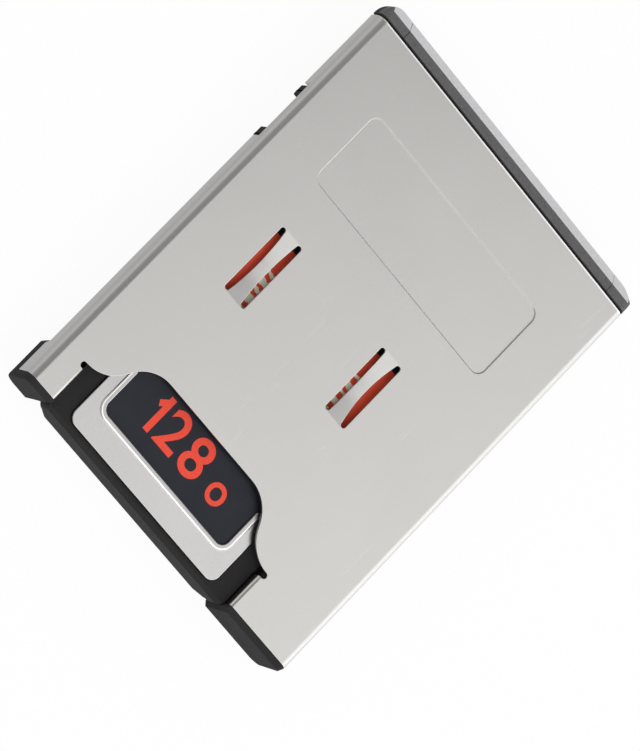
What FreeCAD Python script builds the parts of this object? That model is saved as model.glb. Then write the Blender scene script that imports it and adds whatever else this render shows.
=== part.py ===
import FreeCAD, Part
import math
import os
import re
import Sketcher

# A memory card adapter with a smaller card in it, in millimetres.
# +X points to the nose with the host contacts, +Y to the narrow side rail,
# +Z out of the vented cover. The origin is the middle of the underside.

SIZES = {
    # Room that the moulded frame leaves round the small card and behind the connector
    "fit": 0.03,
    "narrow_rail": 2.75,
    "wide_rail": 6.65,
    "slot_clearance": 0.1,
    "cover_gap": 0.25,
    "board_length": 3.32,
    "corner_round": 0.3,
    # Top cover, bent from sheet
    "cover_sheet": 0.25,
    "cover_bend": 0.7,
    "cover_setback": 0.54,
    "wall_drop": 1.6,
    "tab_drop": 2.05,
    "tab_length": 2.7,
    "tab_ramp": 0.3,
    "side_notch_start": 24.35,
    "side_notch_length": 5.3,
    # Card mouth and window in the top cover
    "mouth_depth": 3.47,
    "mouth_corner": 3.2,
    "window_depth": 7.04,
    "window_corner": 3.13,
    "relief_radius": 0.24,
    "flange_bend": 0.3,
    "flange_drop": 1.1,
    # Vents with a sprung bridge between each pair
    "vent_start": 14.57,
    "vent_length": 6.13,
    "vent_width": 0.42,
    "vent_inner": 5.0,
    "vent_pitch": 1.82,
    "inner_bulge": 0.13,
    "outer_bulge": 0.27,
    "bridge_dip": 0.17,
    # Shallow panel pressed into the top cover
    "panel_setback": 4.9,
    "panel_length": 6.63,
    "panel_margin": 4.94,
    "panel_corner": 0.8,
    "panel_depth": 0.1,
    # Bottom cover
    "base_sheet": 0.25,
    "base_margin": 1.85,
    "base_setback": 0.6,
    "base_corner": 0.6,
    "hook_height": 0.6,
    "hook_margin": 5.25,
    # Moulded frame
    "nose_depth": 1.65,
    "nose_gap": 0.1,
    "nose_corner": 1.5,
    "nose_bevel": 0.87,
    "nose_lower_bevel": 0.5,
    "lower_corner": 1.2,
    "guide_step": 1.25,
    "chin_height": 0.8,
    "ledge_setback": 1.0,
    "lead_in": 0.3,
    "flange_room": 0.4,
    "cavity_gap": 0.3,
    "cavity_wall": 2.2,
    "shelf_width": 0.9,
    "pocket_count": 3,
    "pocket_start": 4.7,
    "pocket_end": 1.9,
    "pocket_wall": 1.15,
    "pocket_floor": 1.0,
    "pocket_rib": 0.8,
    "pocket_inset": 0.9,
    "nub_length": 0.9,
    "nub_height": 0.95,
    # Host connector in the nose
    "nose_wall": 2.4,
    "connector_depth": 4.85,
    "connector_wall": 1.1,
    "host_slot_height": 1.35,
    "host_slot_depth": 3.9,
    "host_slot_floor": 1.05,
    "host_slot_corner": 0.3,
    "host_contact_count": 26,
    "host_contact_margin": 1.3,
    "host_contact_width": 0.3,
    "contact_sheet": 0.12,
    "host_contact_dip": 0.35,
    "host_tail_length": 1.3,
    "groove_clearance": 0.05,
    # Circuit board of the adapter
    "board_thickness": 0.8,
    "board_lift": 1.2,
    "board_clearance": 0.4,
    "capacitor_count": 9,
    "capacitor_margin": 2.6,
    "capacitor_length": 1.0,
    "capacitor_width": 0.5,
    "resistor_count": 12,
    "resistor_margin": 3.4,
    "resistor_length": 0.6,
    "resistor_width": 0.3,
    "resistor_height": 0.25,
    "part_gap": 0.35,
    "film_thickness": 0.1,
    "film_margin": 0.6,
    # Socket for the small card
    "socket_gap": 0.12,
    "socket_depth": 2.15,
    "socket_margin": 0.7,
    "spring_count": 18,
    "spring_margin": 2.775,
    "spring_width": 0.35,
    "spring_sheet": 0.1,
    "spring_reach": 3.4,
    "spring_lift": 0.12,
    "spring_tail": 1.1,
    # Small card
    "card_length": 28.0,
    "card_width": 20.0,
    "card_thickness": 2.8,
    "card_lift": 0.25,
    "card_corner": 0.6,
    "card_end_bevel": 0.3,
    "rail_width": 0.65,
    "rail_lift": 0.95,
    "belly_slope": 0.8,
    "rim_drop": 0.25,
    "shell_floor": 0.6,
    "shell_wall": 1.7,
    "plate_sheet": 0.27,
    "plate_side_margin": 1.725,
    "plate_rear_margin": 0.59,
    "plate_front_margin": 0.5,
    "plate_corner": 0.8,
    "ridge_height": 0.08,
    "ridge_width": 0.42,
    "label_rear_margin": 2.85,
    "label_front_margin": 1.45,
    "label_side_margin": 1.38,
    "label_full_margin": 0.85,
    "label_neck": 3.6,
    "label_corner": 0.7,
    "label_recess": 0.14,
    "label_film": 0.08,
    "pad_reach": 3.9,
    "pad_room": 0.42,
    "pad_width": 0.6,
    "pad_sheet": 0.06,
    # Inside the small card
    "card_board_thickness": 0.5,
    "card_board_inset": 0.3,
    "chip_height": 0.9,
    "controller_size": 10.0,
    "controller_margin": 3.2,
    "memory_count": 2,
    "memory_start": 3.0,
    "memory_gap": 0.5,
    "memory_margin": 0.9,
    "thermal_margin": 0.5,
    "filter_count": 6,
    "filter_margin": 2.8,
    "filter_side_margin": 2.15,
    "filter_size": 0.8,
    "filter_height": 0.45,
}

# Places worked out from the sizes
LENGTH = "(card_length + socket_gap + socket_depth + board_length + connector_depth + 2 * fit)"
WIDTH = "(narrow_rail + wide_rail + card_width + 2 * slot_clearance)"
TOP = "(base_sheet + card_lift + card_thickness + cover_gap + cover_sheet)"
HALF = f"({WIDTH} / 2)"
MIDDLE = "((wide_rail - narrow_rail) / 2)"
UNDER_TOP = f"({TOP} - cover_sheet)"
REAR = f"(-{LENGTH} / 2)"
NOSE = f"({LENGTH} / 2)"
NOSE_STEP = f"({NOSE} - nose_depth)"
COVER_REAR = f"({REAR} + cover_setback)"
COVER_FRONT = f"({NOSE} - nose_depth - nose_gap)"
WALL_EDGE = f"({TOP} - wall_drop)"
TAB_EDGE = f"({TOP} - tab_drop)"
TAB_END = f"({COVER_REAR} + tab_length)"
BEND_EDGE = f"({TOP} - cover_bend)"
NOTCH_START = f"({REAR} + side_notch_start)"
NOTCH_END = f"({NOTCH_START} + side_notch_length)"
CARD_UNDER = "(base_sheet + card_lift)"
CARD_TOP = f"({CARD_UNDER} + card_thickness)"
CARD_FRONT = f"({REAR} + card_length)"
SLOT_HALF = "(card_width / 2 + slot_clearance)"
LEDGE_HALF = "(card_width / 2 - rail_width + slot_clearance)"
RAIL_UNDER = f"({CARD_UNDER} + rail_lift)"
CAVITY_REAR = f"({CARD_FRONT} + cavity_gap)"
CAVITY_HALF = f"({HALF} - cavity_wall)"
BASE_HALF = f"({HALF} - base_margin)"
HOOK_END = f"({NOSE} - hook_margin)"
CONNECTOR_REAR = f"({NOSE} - connector_depth)"
CONNECTOR_HALF = f"({HALF} - nose_wall)"
HOST_SLOT_HALF = f"({CONNECTOR_HALF} - connector_wall)"
HOST_PITCH = f"(2 * ({HOST_SLOT_HALF} - host_contact_margin) / (host_contact_count - 1))"
FIRST_HOST_CONTACT = f"(host_contact_margin - {HOST_SLOT_HALF})"
SOCKET_REAR = f"({CARD_FRONT} + socket_gap)"
SOCKET_FRONT = f"({SOCKET_REAR} + socket_depth)"
SOCKET_HALF = "(card_width / 2 - socket_margin)"
SPRING_PITCH = "((card_width - 2 * spring_margin) / (spring_count - 1))"
FIRST_SPRING = f"({MIDDLE} - card_width / 2 + spring_margin)"
BOARD_HALF = f"({CAVITY_HALF} - board_clearance)"
BOARD_TOP = "(board_lift + board_thickness)"
PLATE_HALF = "(card_width / 2 - plate_side_margin)"
PLATE_TOP = f"({CARD_TOP} - ridge_height)"
PLATE_UNDER = f"({PLATE_TOP} - plate_sheet)"
RIM_TOP = f"({CARD_TOP} - rim_drop)"
LABEL_FLOOR = f"({PLATE_TOP} - label_recess)"
LABEL_REAR = f"({REAR} + label_rear_margin)"
LABEL_FRONT = f"({CARD_FRONT} - label_front_margin)"
SHELL_FLOOR = f"({CARD_UNDER} + shell_floor)"
SHELL_HALF = "(card_width / 2 - rail_width - shell_wall)"
CARD_BOARD_TOP = f"({SHELL_FLOOR} + card_board_thickness)"
CHIP_TOP = f"({CARD_BOARD_TOP} + chip_height)"
CONTROLLER_START = f"({CARD_FRONT} - controller_margin - controller_size)"
BEYOND = 2

doc = FreeCAD.newDocument("card_adapter")
sheet = doc.addObject("Spreadsheet::Sheet", "Sizes")
bodies = []


def fill_sheet():
    """Write every driving size to the sheet, with its name beside it."""
    for row, (name, size) in enumerate(SIZES.items(), start=1):
        sheet.set(f"A{row}", name)
        sheet.set(f"B{row}", str(size))
        sheet.setAlias(f"B{row}", name)
    doc.recompute()


def in_sheet(text):
    """Turn the size names of an expression into references to the sheet."""
    def reference(match):
        name = match.group(0)
        return f"Sizes.{name}" if name in SIZES else name
    return re.sub(r"[a-z_][a-z_0-9]*", reference, str(text))


def number(text):
    return float(sheet.evalExpression(in_sheet(text)))


def bind(feature, path, text):
    feature.setExpression(path, in_sheet(text))


def new_body(name):
    body = doc.addObject("PartDesign::Body", name)
    body.Label = name
    body.AllowCompound = True
    bodies.append(body)
    return body


def origin_part(body, role):
    for feature in body.Origin.OriginFeatures:
        if feature.Role == role:
            return feature
    raise ValueError(role)


def box_loop(x0, y0, x1, y1):
    return [(x0, y0), (x1, y0), (x1, y1), (x0, y1)]


def round_loop(x0, y0, x1, y1, radius):
    """Rectangle with rounded corners, counterclockwise."""
    return [
        (f"{x0} + {radius}", y0),
        (f"{x1} - {radius}", y0, radius, 1),
        (x1, f"{y0} + {radius}"),
        (x1, f"{y1} - {radius}", radius, 1),
        (f"{x1} - {radius}", y1),
        (f"{x0} + {radius}", y1, radius, 1),
        (x0, f"{y1} - {radius}"),
        (x0, f"{y0} + {radius}", radius, 1),
    ]


def arc_between(start, end, radius, turn):
    """The short arc from start to end: turn 1 goes counterclockwise, -1 clockwise."""
    chord = end - start
    middle = (start + end) / 2
    rise = math.sqrt(max(radius ** 2 - (chord.Length / 2) ** 2, 0))
    left = FreeCAD.Vector(-chord.y, chord.x, 0).normalize()
    centre = middle + left * rise * turn
    first, last = (start, end) if turn > 0 else (end, start)
    angle_first = math.atan2(first.y - centre.y, first.x - centre.x)
    angle_last = math.atan2(last.y - centre.y, last.x - centre.x)
    if angle_last < angle_first:
        angle_last += 2 * math.pi
    circle = Part.Circle(centre, FreeCAD.Vector(0, 0, 1), radius)
    return Part.ArcOfCircle(circle, angle_first, angle_last)


def draw_loop(sketch, loop):
    """Add a closed loop whose corners, and the radii of its arcs, follow the sheet."""
    corners = [FreeCAD.Vector(number(step[0]), number(step[1]), 0) for step in loop]
    edges = []
    for place, step in enumerate(loop):
        start = corners[place]
        end = corners[(place + 1) % len(loop)]
        if len(step) == 2:
            edge = sketch.addGeometry(Part.LineSegment(start, end), False)
            edges.append((edge, 1, 2))
            continue
        radius, turn = step[2], step[3]
        arc = arc_between(start, end, number(radius), turn)
        edge = sketch.addGeometry(arc, False)
        edges.append((edge, 1, 2) if turn > 0 else (edge, 2, 1))
        rule = sketch.addConstraint(Sketcher.Constraint("Radius", edge, number(radius)))
        bind(sketch, f"Constraints[{rule}]", radius)
    for place, (edge, start_point, end_point) in enumerate(edges):
        after = edges[(place + 1) % len(edges)]
        sketch.addConstraint(Sketcher.Constraint("Coincident", edge, end_point, after[0], after[1]))
        for axis, text in (("DistanceX", loop[place][0]), ("DistanceY", loop[place][1])):
            rule = Sketcher.Constraint(axis, -1, 1, edge, start_point, number(text))
            bind(sketch, f"Constraints[{sketch.addConstraint(rule)}]", text)


def new_sketch(body, name, role, loops, level):
    sketch = body.newObject("Sketcher::SketchObject", f"{body.Name}_{name}_outline")
    sketch.AttachmentSupport = (origin_part(body, role), [""])
    sketch.MapMode = "FlatFace"
    side = "-1 * " if role == "XZ_Plane" else ""
    bind(sketch, "AttachmentOffset.Base.z", f"{side}({level})")
    for loop in loops:
        draw_loop(sketch, loop)
    return sketch


def add(body, name, role, loops, start, end):
    """Pad the loops from one place to another along the plane's own world axis."""
    level = end if role == "XZ_Plane" else start
    pad = body.newObject("PartDesign::Pad", f"{body.Name}_{name}")
    pad.Profile = new_sketch(body, name, role, loops, level)
    bind(pad, "Length", f"{end} - ({start})")
    doc.recompute()
    return pad


def cut(body, name, role, loops, start, end):
    """Pocket the loops from one place to another, and see that it took material away."""
    before = body.Shape.Volume
    level = start if role == "XZ_Plane" else end
    pocket = body.newObject("PartDesign::Pocket", f"{body.Name}_{name}")
    pocket.Profile = new_sketch(body, name, role, loops, level)
    bind(pocket, "Length", f"{end} - ({start})")
    doc.recompute()
    if body.Shape.Volume > before - 1e-6:
        raise ValueError(f"{body.Name} {name} cuts nothing")
    return pocket


def repeat(body, feature, axis, pitch, count):
    """Repeat one feature in a row along an axis of the body."""
    row = body.newObject("PartDesign::LinearPattern", f"{feature.Name}_row")
    row.Originals = [feature]
    row.Direction = (origin_part(body, axis), [""])
    row.Mode = "Spacing"
    bind(row, "Offset", pitch)
    bind(row, "Occurrences", count)
    body.Tip = row
    doc.recompute()
    return row


def bevel_nose(body, with_lower):
    """Slope the upper front edge of the nose, and the lower one where the piece has it."""
    upper = [
        (f"{NOSE} - nose_bevel", TOP),
        (NOSE, f"{TOP} - nose_bevel"),
        (f"{NOSE} + {BEYOND}", f"{TOP} - nose_bevel"),
        (f"{NOSE} + {BEYOND}", f"{TOP} + {BEYOND}"),
        (f"{NOSE} - nose_bevel", f"{TOP} + {BEYOND}"),
    ]
    lower = [
        (f"{NOSE} - nose_lower_bevel", "0"),
        (f"{NOSE} - nose_lower_bevel", f"-{BEYOND}"),
        (f"{NOSE} + {BEYOND}", f"-{BEYOND}"),
        (f"{NOSE} + {BEYOND}", "nose_lower_bevel"),
        (NOSE, "nose_lower_bevel"),
    ]
    across = (f"(-{HALF} - {BEYOND})", f"({HALF} + {BEYOND})")
    bevels = [upper, lower] if with_lower else [upper]
    cut(body, "nose_bevels", "XZ_Plane", bevels, *across)


def shell_profile(edge, bend, sheet_name):
    """Section of a sheet bent down at both sides, from its lower edges up."""
    inner = f"({HALF} - {sheet_name})"
    turn = f"({bend} - {sheet_name})"
    return [
        (HALF, edge),
        (HALF, f"{TOP} - {bend}", bend, 1),
        (f"{HALF} - {bend}", TOP),
        (f"{bend} - {HALF}", TOP, bend, 1),
        (f"-{HALF}", f"{TOP} - {bend}"),
        (f"-{HALF}", edge),
        (f"-{inner}", edge),
        (f"-{inner}", f"{TOP} - {bend}", turn, -1),
        (f"{bend} - {HALF}", f"{TOP} - {sheet_name}"),
        (f"{HALF} - {bend}", f"{TOP} - {sheet_name}", turn, -1),
        (inner, f"{TOP} - {bend}"),
        (inner, edge),
    ]


def window_loop():
    """Card mouth with straight sides, sweeping in to the narrower rounded window."""
    shoulder = f"({COVER_REAR} + mouth_depth)"
    far = f"({COVER_REAR} + window_depth)"
    side = f"({SLOT_HALF} + flange_bend)"
    reach = f"({far} - window_corner - {shoulder} - mouth_corner)"
    both = "(window_corner + mouth_corner)"
    spread = f"sqrt({both} ^ 2 - {reach} ^ 2)"
    inner = f"({side} - {spread})"
    share = f"(window_corner / {both})"
    meet_x = f"({far} - window_corner - {reach} * {share})"
    meet_y = f"({inner} + {spread} * {share})"
    rear = f"({COVER_REAR} - {BEYOND})"
    mid = MIDDLE
    return [
        (rear, f"{mid} - {side}"),
        (shoulder, f"{mid} - {side}", "mouth_corner", -1),
        (meet_x, f"{mid} - {meet_y}", "window_corner", 1),
        (far, f"{mid} - {inner}"),
        (far, f"{mid} + {inner}", "window_corner", 1),
        (meet_x, f"{mid} + {meet_y}", "mouth_corner", -1),
        (shoulder, f"{mid} + {side}"),
        (rear, f"{mid} + {side}"),
    ]


def vent_loop(centre, side, bulge):
    """Slot along X with round ends. Its long side towards the bridge bows out."""
    start = f"({COVER_REAR} + vent_start)"
    end = f"({start} + vent_length)"
    half = "(vent_width / 2)"
    chord = "(vent_length - vent_width)"
    bow = f"((({chord} / 2) ^ 2 + {bulge} ^ 2) / (2 * {bulge}))"
    flat = f"({centre} - {side} * {half})"
    bowed = f"({centre} + {side} * {half})"
    loop = [
        (f"{start} + {half}", flat),
        (f"{end} - {half}", flat, half, side),
        (end, centre, half, side),
        (f"{end} - {half}", bowed, bow, side),
        (f"{start} + {half}", bowed, half, side),
        (start, centre, half, side),
    ]
    return loop


def bridge_profile():
    """Long section of the sprung bridge between two vents: it dips to press on the card."""
    start = f"({COVER_REAR} + vent_start)"
    end = f"({start} + vent_length)"
    third = "(vent_length / 3)"
    return [
        (start, UNDER_TOP),
        (f"{start} + {third}", f"{UNDER_TOP} - bridge_dip"),
        (f"{end} - {third}", f"{UNDER_TOP} - bridge_dip"),
        (end, UNDER_TOP),
        (end, TOP),
        (f"{end} - {third}", f"{TOP} - bridge_dip"),
        (f"{start} + {third}", f"{TOP} - bridge_dip"),
        (start, TOP),
    ]


def flange_profile(side):
    """Section of the lip turned down beside the card mouth, for one side of the card."""
    face = f"({MIDDLE} + {side} * {SLOT_HALF})"
    root = f"({face} + {side} * flange_bend)"
    back = f"({face} + {side} * cover_sheet)"
    turn = "(flange_bend - cover_sheet)"
    low = f"({TOP} - flange_drop)"
    return [
        (root, TOP, "flange_bend", side),
        (face, f"{TOP} - flange_bend"),
        (face, low),
        (back, low),
        (back, f"{TOP} - flange_bend", turn, -side),
        (root, UNDER_TOP),
    ]


def make_top_cover():
    body = new_body("top_cover")
    profile = shell_profile(TAB_EDGE, "cover_bend", "cover_sheet")
    add(body, "shell", "YZ_Plane", [profile], COVER_REAR, COVER_FRONT)
    below = f"({TAB_EDGE} - {BEYOND})"
    wall_trim = [
        (TAB_END, below),
        (f"{NOSE} + {BEYOND}", below),
        (f"{NOSE} + {BEYOND}", WALL_EDGE),
        (f"{TAB_END} + tab_ramp", WALL_EDGE),
        (TAB_END, TAB_EDGE),
    ]
    across = (f"(-{HALF} - {BEYOND})", f"({HALF} + {BEYOND})")
    cut(body, "wall_trim", "XZ_Plane", [wall_trim], *across)
    notch = box_loop(NOTCH_START, below, NOTCH_END, BEND_EDGE)
    cut(body, "side_notch", "XZ_Plane", [notch], f"({HALF} - cover_bend)", across[1])
    through = (f"({TOP} - cover_bend)", f"({TOP} + {BEYOND})")
    cut(body, "window", "XY_Plane", [window_loop()], *through)
    flange_end = f"({COVER_REAR} + mouth_depth - 2 * relief_radius)"
    for side, name in ((1, "upper_flange"), (-1, "lower_flange")):
        add(body, name, "YZ_Plane", [flange_profile(side)], COVER_REAR, flange_end)
        root = f"({MIDDLE} + {side} * ({SLOT_HALF} + flange_bend))"
        centre = f"({COVER_REAR} + mouth_depth - relief_radius)"
        relief = round_corner_slot(centre, root, side)
        cut(body, f"{name}_relief", "XY_Plane", [relief], *through)
    bridge_side = "(vent_inner + vent_pitch)"
    for side, name in ((1, "upper"), (-1, "lower")):
        near = f"({MIDDLE} + {side} * vent_inner)"
        away = f"({MIDDLE} + {side} * {bridge_side})"
        low, high = (near, away) if side > 0 else (away, near)
        start = f"({COVER_REAR} + vent_start)"
        bed = box_loop(start, low, f"({start} + vent_length)", high)
        cut(body, f"{name}_bridge_bed", "XY_Plane", [bed], *through)
        add(body, f"{name}_bridge", "XZ_Plane", [bridge_profile()], low, high)
        vents = [vent_loop(near, side, "inner_bulge"), vent_loop(away, -side, "outer_bulge")]
        cut(body, f"{name}_vents", "XY_Plane", vents, *through)
    panel_front = f"({COVER_FRONT} - panel_setback)"
    half = f"({HALF} - panel_margin)"
    panel = round_loop(
        f"({panel_front} - panel_length)", f"-{half}", panel_front, half, "panel_corner")
    cut(body, "panel", "XY_Plane", [panel], f"({TOP} - panel_depth)", f"({TOP} + {BEYOND})")


def round_corner_slot(centre, root, side):
    """Small dog-ear that frees the end of a flange from the sheet."""
    tip = f"({root} + {side} * relief_radius)"
    left = f"({centre} - relief_radius)"
    right = f"({centre} + relief_radius)"
    inside = f"({root} - {side} * flange_bend)"
    return [
        (left, inside),
        (right, inside),
        (right, root, "relief_radius", side),
        (centre, tip, "relief_radius", side),
        (left, root),
    ]


def make_bottom_cover():
    body = new_body("bottom_cover")
    rear = f"({REAR} + base_setback)"
    plan = round_loop(rear, f"-{BASE_HALF}", COVER_FRONT, BASE_HALF, "base_corner")
    add(body, "sheet", "XY_Plane", [plan], "0", "base_sheet")
    hooks = []
    for low, high in ((f"-{BASE_HALF}", f"(base_sheet - {BASE_HALF})"),
                      (f"({BASE_HALF} - base_sheet)", BASE_HALF)):
        hooks.append(box_loop(f"-{HOOK_END}", low, HOOK_END, high))
    add(body, "hooks", "XY_Plane", hooks, "base_sheet", "(base_sheet + hook_height)")


def corner_waste(side):
    """What is cut from a top corner of the frame to round its shoulder."""
    flat = f"({side} * ({HALF} - cover_bend))"
    wide = f"({side} * ({HALF} + {BEYOND}))"
    high = f"({TOP} + {BEYOND})"
    return [
        (flat, TOP, "cover_bend", -side),
        (f"{side} * {HALF}", BEND_EDGE),
        (wide, BEND_EDGE),
        (wide, high),
        (flat, high),
    ]


def lower_waste(side):
    """What is cut from a lower corner of the frame to round it."""
    flat = f"({side} * ({HALF} - lower_corner))"
    wide = f"({side} * ({HALF} + {BEYOND}))"
    return [
        (flat, "0", "lower_corner", side),
        (f"{side} * {HALF}", "lower_corner"),
        (wide, "lower_corner"),
        (wide, f"-{BEYOND}"),
        (flat, f"-{BEYOND}"),
    ]


def seat_loop(edge):
    """Room for the top cover over the frame, down to the given edge."""
    inner = f"({HALF} - cover_sheet - fit)"
    turn = "(cover_bend - cover_sheet)"
    wide = f"({HALF} + {BEYOND})"
    high = f"({TOP} + {BEYOND})"
    return [
        (wide, edge),
        (wide, high),
        (f"-{wide}", high),
        (f"-{wide}", edge),
        (f"-{inner}", edge),
        (f"-{inner}", BEND_EDGE, turn, -1),
        (f"cover_bend - {HALF}", UNDER_TOP),
        (f"{HALF} - cover_bend", UNDER_TOP, turn, -1),
        (inner, BEND_EDGE),
        (inner, edge),
    ]


def card_slot_loop():
    """Section of the card slot: open above and below, with a ledge under each card rail."""
    mid = MIDDLE
    ledge = f"({RAIL_UNDER} - 2 * fit)"
    high = f"({TOP} + {BEYOND})"
    return [
        (f"{mid} - {LEDGE_HALF}", f"-{BEYOND}"),
        (f"{mid} + {LEDGE_HALF}", f"-{BEYOND}"),
        (f"{mid} + {LEDGE_HALF}", ledge),
        (f"{mid} + {SLOT_HALF}", ledge),
        (f"{mid} + {SLOT_HALF}", high),
        (f"{mid} - {SLOT_HALF}", high),
        (f"{mid} - {SLOT_HALF}", ledge),
        (f"{mid} - {LEDGE_HALF}", ledge),
    ]


def guide_loop(side):
    """Guide step along one lower side, from the nose back to the rear block's ramp."""
    step = f"({HALF} - guide_step)"
    out = f"({HALF} + guide_step)"
    return [
        (f"{TAB_END} - guide_step", f"{side} * {out}"),
        (f"{TAB_END} + guide_step", f"{side} * {step}"),
        (f"{NOSE} + {BEYOND}", f"{side} * {step}"),
        (f"{NOSE} + {BEYOND}", f"{side} * {out}"),
    ]


def lead_in_loop(side):
    """Slope at a rear corner of the card slot, which leads the card in."""
    wall = f"({MIDDLE} + {side} * {SLOT_HALF})"
    inside = f"({wall} - {side} * slot_clearance)"
    outside = f"({wall} + {side} * lead_in)"
    return [
        (f"{REAR} + lead_in", inside),
        (f"{REAR} + lead_in", wall),
        (REAR, outside),
        (f"{REAR} - {BEYOND}", outside),
        (f"{REAR} - {BEYOND}", inside),
    ]


def cut_front_of_frame(body):
    """Cavity for the socket and board, with shelves, and the gap for the connector."""
    deep = CAVITY_HALF
    shelf = f"({deep} - shelf_width)"
    nose = f"({CONNECTOR_HALF} + fit)"
    front = f"({NOSE} + {BEYOND})"
    upper = [
        (CAVITY_REAR, f"-{deep}"),
        (NOSE_STEP, f"-{deep}"),
        (NOSE_STEP, f"-{nose}"),
        (front, f"-{nose}"),
        (front, nose),
        (NOSE_STEP, nose),
        (NOSE_STEP, deep),
        (CAVITY_REAR, deep),
    ]
    shelf_end = f"({CONNECTOR_REAR} - fit)"
    lower = [
        (CAVITY_REAR, f"-{shelf}"),
        (shelf_end, f"-{shelf}"),
        (shelf_end, f"-{deep}"),
        (NOSE_STEP, f"-{deep}"),
        (NOSE_STEP, deep),
        (shelf_end, deep),
        (shelf_end, shelf),
        (CAVITY_REAR, shelf),
    ]
    cut(body, "cavity", "XY_Plane", [upper], "board_lift", f"({TOP} + {BEYOND})")
    cut(body, "under_cavity", "XY_Plane", [lower], f"(-{BEYOND})", "board_lift")
    gap = box_loop(f"({NOSE_STEP} - fit)", f"-{nose}", front, nose)
    cut(body, "nose_gap", "XY_Plane", [gap], "chin_height", f"({TOP} + {BEYOND})")


def make_frame():
    body = new_body("frame")
    plan = [
        (f"{REAR} + corner_round", f"-{HALF}"),
        (f"{NOSE} - nose_corner", f"-{HALF}", "nose_corner", 1),
        (NOSE, f"nose_corner - {HALF}"),
        (NOSE, f"{HALF} - nose_corner", "nose_corner", 1),
        (f"{NOSE} - nose_corner", HALF),
        (f"{REAR} + corner_round", HALF, "corner_round", 1),
        (REAR, f"{HALF} - corner_round"),
        (REAR, f"corner_round - {HALF}", "corner_round", 1),
    ]
    add(body, "block", "XY_Plane", [plan], "0", TOP)
    bevel_nose(body, with_lower=True)
    length = (f"({REAR} - {BEYOND})", f"({NOSE} + {BEYOND})")
    cut(body, "shoulders", "YZ_Plane", [corner_waste(1), corner_waste(-1)], *length)
    cut(body, "lower_rounds", "YZ_Plane", [lower_waste(1), lower_waste(-1)], *length)
    cut(body, "cover_seat", "YZ_Plane", [seat_loop(f"({WALL_EDGE} - fit)")], COVER_REAR, NOSE_STEP)
    tab_room = f"({TAB_END} + tab_ramp)"
    cut(body, "tab_seat", "YZ_Plane", [seat_loop(f"({TAB_EDGE} - fit)")], COVER_REAR, tab_room)
    guides = [guide_loop(1), guide_loop(-1)]
    cut(body, "guide_steps", "XY_Plane", guides, f"(-{BEYOND})", WALL_EDGE)
    slot_front = f"({CAVITY_REAR} + fit)"
    cut(body, "card_slot", "YZ_Plane", [card_slot_loop()], length[0], slot_front)
    slot_sides = (f"({MIDDLE} - {SLOT_HALF})", f"({MIDDLE} + {SLOT_HALF})")
    ledge_ends = box_loop(length[0], slot_sides[0], f"({REAR} + ledge_setback)", slot_sides[1])
    cut(body, "ledge_ends", "XY_Plane", [ledge_ends], f"(-{BEYOND})", RAIL_UNDER)
    lead_ins = [lead_in_loop(1), lead_in_loop(-1)]
    cut(body, "lead_ins", "XY_Plane", lead_ins, f"(-{BEYOND})", f"({TOP} + {BEYOND})")
    cut_front_of_frame(body)
    rear = f"({REAR} + base_setback - fit)"
    base_half = f"({BASE_HALF} + fit)"
    base_room = round_loop(rear, f"-{base_half}", NOSE_STEP, base_half, "base_corner")
    cut(body, "base_seat", "XY_Plane", [base_room], f"(-{BEYOND})", "base_sheet")
    hook_rooms = []
    for side in (1, -1):
        inner = f"({side} * ({BASE_HALF} - base_sheet - fit))"
        outer = f"({side} * {base_half})"
        low, high = (inner, outer) if side > 0 else (outer, inner)
        hook_rooms.append(box_loop(f"(-{HOOK_END} - fit)", low, f"({HOOK_END} + fit)", high))
    hook_top = "(base_sheet + hook_height + fit)"
    cut(body, "hook_grooves", "XY_Plane", hook_rooms, f"(-{BEYOND})", hook_top)
    flange_rooms = []
    for side in (1, -1):
        inner = f"({MIDDLE} + {side} * card_width / 2)"
        outer = f"({inner} + {side} * (slot_clearance + flange_room))"
        low, high = (inner, outer) if side > 0 else (outer, inner)
        bottom = f"({TOP} - flange_drop - fit)"
        flange_rooms.append(box_loop(low, bottom, high, f"({TOP} + {BEYOND})"))
    flange_end = f"({COVER_REAR} + mouth_depth + relief_radius)"
    cut(body, "flange_rooms", "YZ_Plane", flange_rooms, COVER_REAR, flange_end)
    cut_pockets(body)
    add_nubs(body)


def cut_pockets(body):
    """Row of pockets that cores out the wide side rail."""
    outer = f"(guide_step - {HALF} + pocket_inset)"
    inner = f"({MIDDLE} - {SLOT_HALF} - pocket_wall)"
    start = f"({REAR} + pocket_start)"
    ribs = "((pocket_count - 1) * pocket_rib)"
    length = f"((card_length - pocket_start - pocket_end - {ribs}) / pocket_count)"
    pocket = box_loop(start, outer, f"({start} + {length})", inner)
    first = cut(body, "pocket", "XY_Plane", [pocket], "pocket_floor", f"({TOP} + {BEYOND})")
    repeat(body, first, "X_Axis", f"{length} + pocket_rib", "pocket_count")


def add_nubs(body):
    """Notch in the narrow side, with a ramped nub at each end of it."""
    step = f"({HALF} - guide_step)"
    notch = box_loop(NOTCH_START, step, NOTCH_END, f"{HALF} + {BEYOND}")
    cut(body, "side_notch", "XY_Plane", [notch], f"({WALL_EDGE} - fit)", BEND_EDGE)
    root = f"({step} - fit)"
    nubs = []
    for start in (NOTCH_START, f"({NOTCH_END} - nub_length)"):
        nubs.append([
            (start, root),
            (f"{start} + nub_length", root),
            (f"{start} + nub_length", step),
            (f"{start} + nub_length / 4", HALF),
            (start, HALF),
        ])
    nub_top = f"({BEND_EDGE} - 2 * fit)"
    add(body, "nubs", "XY_Plane", nubs, f"({nub_top} - nub_height)", nub_top)


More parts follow.
